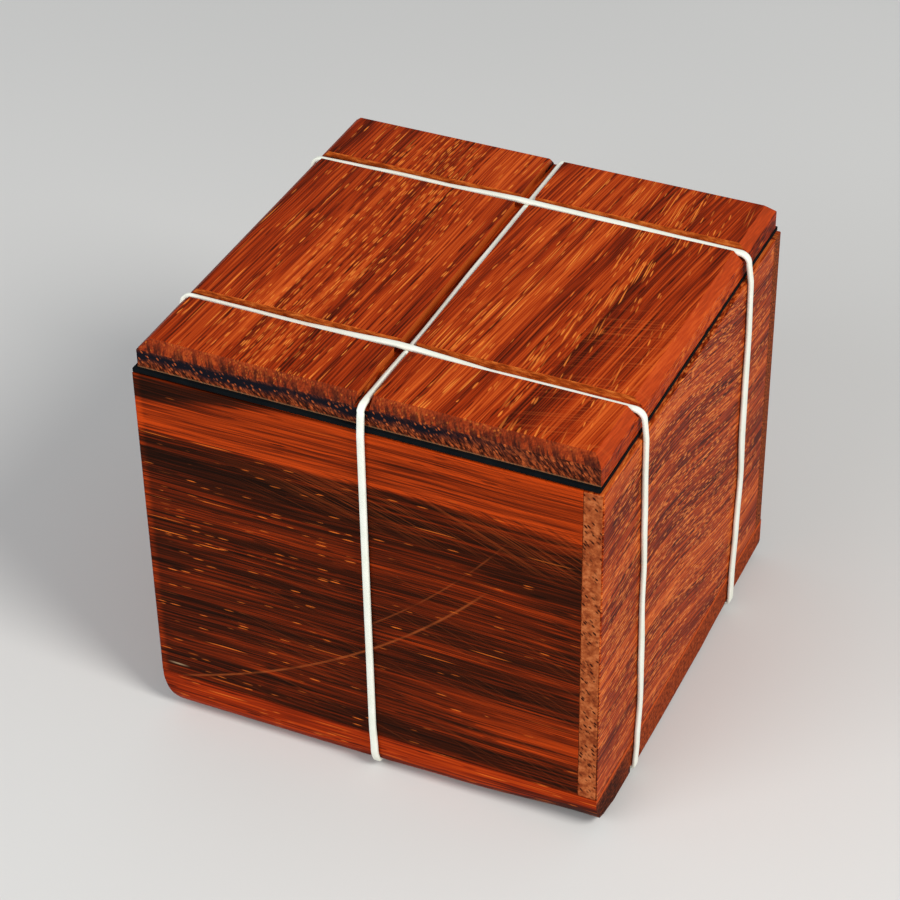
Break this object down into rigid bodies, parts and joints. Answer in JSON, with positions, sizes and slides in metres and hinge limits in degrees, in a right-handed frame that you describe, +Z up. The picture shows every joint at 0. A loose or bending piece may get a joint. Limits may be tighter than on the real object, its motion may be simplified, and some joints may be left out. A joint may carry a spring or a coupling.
{
  "type": "wooden puzzle box",
  "caption": "Small cubic box of oiled red hardwood with a chamfered, saw-grooved lift-off lid, held shut by flat pale rubber bands that run round it in the grooves.",
  "frame": {"origin": "centre of the face it rests on, under the middle of the box", "axes": "+Z up, +X to the right panel, +Y to the back panel; the front panel faces -Y"},
  "size_m": [0.102, 0.102, 0.094],
  "materials": {
    "base_wood": "oiled",
    "panel_wood": "oiled",
    "lid_wood": "oiled",
    "seal_rubber": "matte",
    "band_rubber": "satin"
  },
  "bodies": {
    "box": {"base_board": "base_wood", "front_panel": "panel_wood", "right_panel": "panel_wood", "back_panel": "panel_wood", "left_panel": "panel_wood", "band_cross": "band_rubber", "band_front": "band_rubber", "band_rear": "band_rubber"},
    "lid": {"lid_board": "lid_wood", "lid_seal": "seal_rubber", "lid_plug": "panel_wood"}
  },
  "joints": [
    {"name": "lid_lift", "type": "slide", "parent": "box", "child": "lid", "axis": [0, 0, 1], "range_m": [0, 0.06], "deforming": ["band_cross", "band_front", "band_rear"]}
  ]
}
